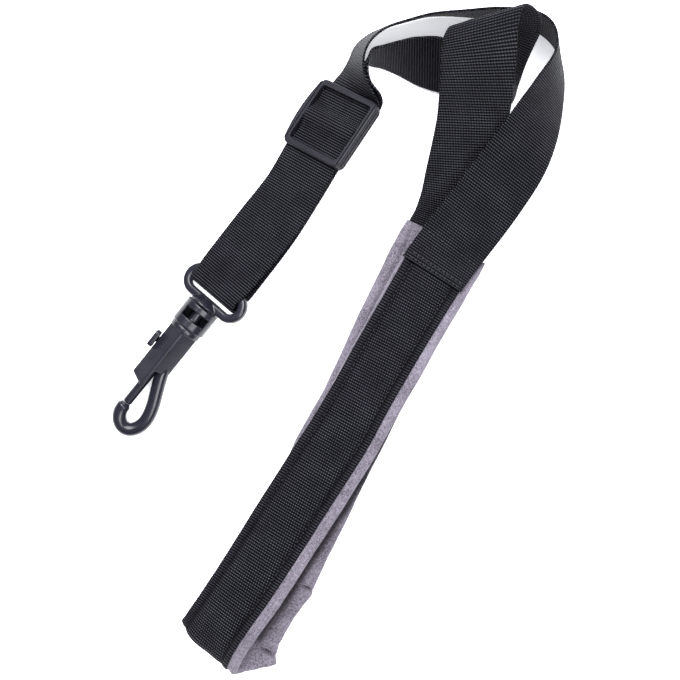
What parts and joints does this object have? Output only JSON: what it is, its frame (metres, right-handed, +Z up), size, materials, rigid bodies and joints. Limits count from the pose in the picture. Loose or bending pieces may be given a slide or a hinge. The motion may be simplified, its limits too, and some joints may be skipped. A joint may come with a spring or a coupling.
{
  "type": "saxophone harness",
  "caption": "Neck strap of flat webbing lying flat, with a folded padded neck section, a slide adjuster and a swivel snap hook.",
  "frame": {"origin": "middle of the bounding box's underside, on the surface the strap lies on", "axes": "+Y along the strap from the hook and the pad's fold towards the top of the loop, +X from the hook towards the pad, +Z up"},
  "size_m": [0.1908, 0.4198, 0.0704],
  "materials": {
    "webbing": "woven, dull, with a fine rib across",
    "velvet": "short soft nap",
    "slider_plastic": "finely textured",
    "hook_plastic": "satin"
  },
  "bodies": {
    "strap": {"pad_cover": "webbing", "pad_lining": "velvet", "strap_upper": "webbing", "strap_lower": "webbing", "strap_drop": "webbing", "slider": "slider_plastic", "swivel_ring": "hook_plastic"},
    "hook": {"hook_body": "hook_plastic"},
    "gate": {"gate_bolt": "hook_plastic"}
  },
  "joints": [
    {"name": "hook_swivel", "type": "hinge", "parent": "strap", "child": "hook", "pos_m": [-0.06575, -0.06862, 0.01065], "axis": [0.0157, 0.9992, 0.0366], "continuous": true},
    {"name": "gate_slide", "type": "slide", "parent": "hook", "child": "gate", "axis": [0.0157, 0.9992, 0.0366], "range_m": [0, 0.0055], "stiffness_N_per_m": 150, "springref_m": -0.003}
  ]
}
